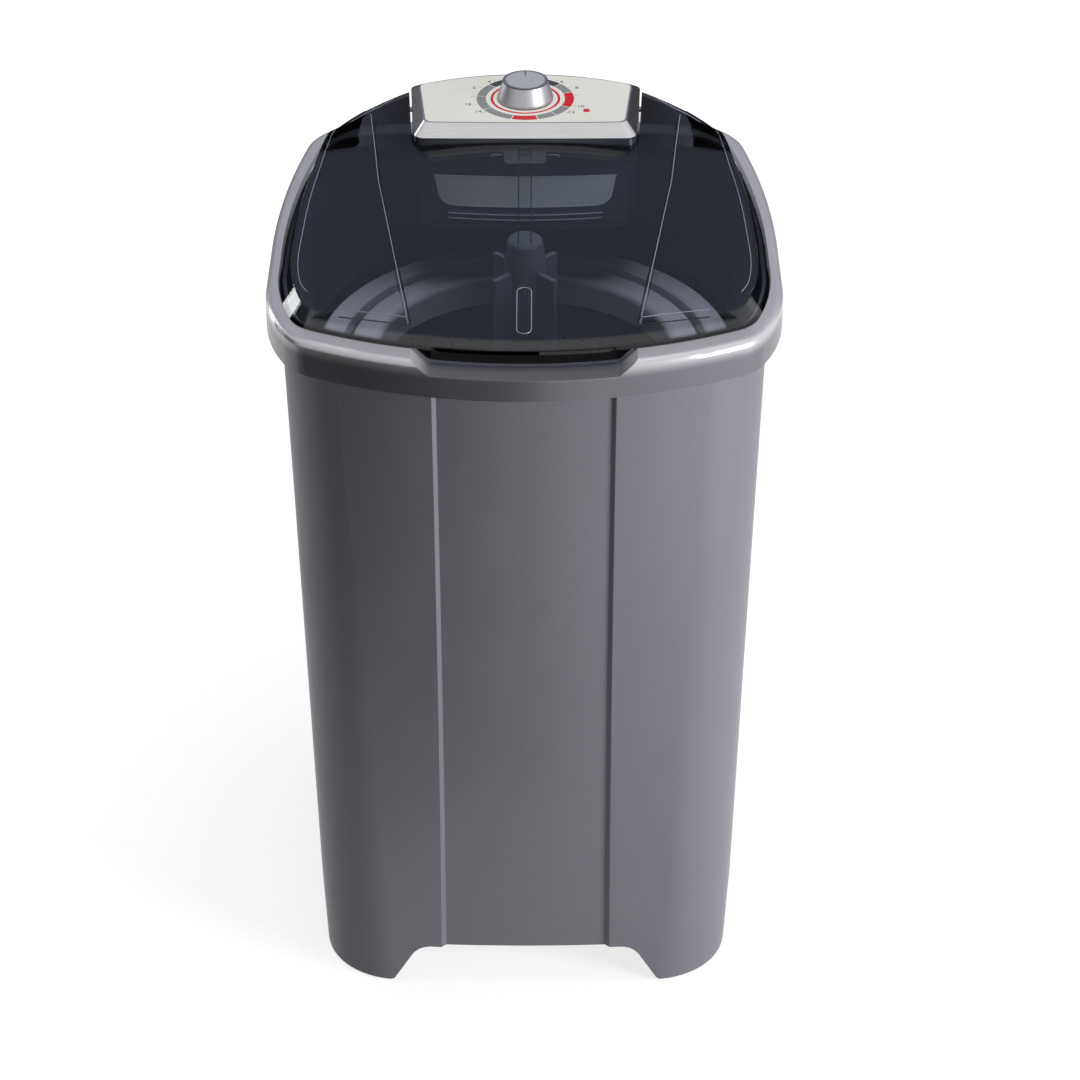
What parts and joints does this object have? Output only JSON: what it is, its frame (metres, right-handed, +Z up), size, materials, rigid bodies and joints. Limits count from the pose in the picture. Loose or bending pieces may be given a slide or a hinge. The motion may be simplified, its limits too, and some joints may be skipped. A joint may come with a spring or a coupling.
{
  "type": "washing machine",
  "caption": "Top-loading semi-automatic washing machine: flared cabinet, arched smoked lid, dial console at the rear, suspended tub, perforated basket and agitator.",
  "frame": {"origin": "on the floor, under the middle of the rim, which is the widest part", "axes": "+Z up, +X to the machine's right seen from the front, -Y to the front, where the finger notch is"},
  "size_m": [0.56, 0.5898, 0.932],
  "materials": {
    "graphite_paint": "satin",
    "cover_paint": "satin",
    "silver_plastic": "satin",
    "deck_plastic": "satin",
    "smoked_plastic": "gloss",
    "navy_plastic": "gloss",
    "console_floor": "satin",
    "bezel_silver": "satin",
    "panel_white": "satin",
    "knob_silver": "satin",
    "lamp_red": "gloss",
    "filter_silver": "satin",
    "filter_tab_silver": "satin",
    "window_green": "gloss",
    "tub_plastic": "satin",
    "ring_plastic": "satin",
    "basket_steel": "satin",
    "agitator_plastic": "satin",
    "cast_metal": "cast",
    "shaft_steel": "bright",
    "fastener_steel": "bright",
    "spring_steel": "dark",
    "bracket_steel": "satin",
    "black_plastic": "matt",
    "capacitor_case": "satin",
    "black_rubber": "matt"
  },
  "bodies": {
    "chassis": {"cabinet": "graphite_paint", "base_frame": "black_plastic", "feet": "black_rubber", "rear_cover": "cover_paint", "rear_cover_screws": "fastener_steel", "rim_trim": "silver_plastic", "top_deck": "deck_plastic", "suspension_brackets": "bracket_steel", "suspension_rods": "fastener_steel", "rod_caps": "black_plastic", "suspension_springs": "spring_steel", "console_housing": "navy_plastic", "console_base": "console_floor", "console_screws": "fastener_steel", "console_bezel": "bezel_silver", "control_panel": "panel_white", "indicator_lamp": "lamp_red", "timer_body": "black_plastic", "lid_switch": "black_plastic", "hinge_pins": "shaft_steel", "capacitor": "capacitor_case", "capacitor_clip": "black_plastic", "drain_hose": "black_rubber", "drain_spigot": "black_plastic", "cable_gland": "black_plastic"},
    "tub": {"outer_tub": "tub_plastic", "tub_ring": "ring_plastic", "bearing_housing": "cast_metal", "bearings": "shaft_steel", "shaft_seal": "black_rubber", "gearcase": "cast_metal", "gearcase_screws": "fastener_steel", "motor_bracket": "bracket_steel", "motor_bolts": "fastener_steel", "motor": "cast_metal", "damper_sleeves": "black_plastic", "drive_belt": "black_rubber"},
    "basket": {"spin_basket": "basket_steel", "basket_floor": "basket_steel", "balance_ring": "ring_plastic", "basket_hub": "cast_metal", "hub_screws": "fastener_steel", "spin_tube": "shaft_steel"},
    "agitator": {"agitator": "agitator_plastic", "agitator_cap": "agitator_plastic", "agitator_bolt": "fastener_steel", "agitator_shaft": "shaft_steel"},
    "drive_pulley": {"driven_pulley": "cast_metal", "input_shaft": "shaft_steel", "pulley_nut": "fastener_steel"},
    "motor_rotor": {"motor_shaft": "shaft_steel", "motor_pulley": "cast_metal"},
    "lid": {"lid": "smoked_plastic", "lid_magnet": "shaft_steel"},
    "timer_knob": {"timer_knob": "knob_silver", "knob_cap": "knob_silver", "timer_shaft": "shaft_steel"},
    "filter": {"filter_cartridge": "filter_silver", "filter_window": "window_green", "filter_tab": "filter_tab_silver"}
  },
  "joints": [
    {"name": "tub_bounce", "type": "slide", "parent": "chassis", "child": "tub", "axis": [0, 0, 1], "range_m": [-0.012, 0.012], "stiffness_N_per_m": 12000, "springref_m": 0.01474, "deforming": ["suspension_springs", "drain_hose"]},
    {"name": "basket_spin", "type": "hinge", "parent": "tub", "child": "basket", "pos_m": [0, 0, 0.5], "axis": [0, 0, 1], "continuous": true},
    {"name": "agitator_spin", "type": "hinge", "parent": "basket", "child": "agitator", "pos_m": [0, 0, 0.5], "axis": [0, 0, 1], "continuous": true},
    {"name": "drive_pulley_spin", "type": "hinge", "parent": "tub", "child": "drive_pulley", "pos_m": [0, 0, 0.096], "axis": [0, 0, 1], "continuous": true},
    {"name": "motor_spin", "type": "hinge", "parent": "tub", "child": "motor_rotor", "pos_m": [0, 0.168, 0.096], "axis": [0, 0, 1], "continuous": true},
    {"name": "lid_hinge", "type": "hinge", "parent": "chassis", "child": "lid", "pos_m": [0, 0.234, 0.88], "axis": [-1, 0, 0], "range_deg": [0, 95]},
    {"name": "timer_turn", "type": "hinge", "parent": "chassis", "child": "timer_knob", "pos_m": [0, 0.204, 0.92], "axis": [0, 0, 1], "continuous": true},
    {"name": "filter_slide", "type": "slide", "parent": "chassis", "child": "filter", "axis": [0, -1, 0], "range_m": [0, 0.045]}
  ],
  "couplings": [
    {"joint": "drive_pulley_spin", "follows": "basket_spin", "ratio": 1},
    {"joint": "motor_spin", "follows": "basket_spin", "ratio": 4.1364}
  ]
}
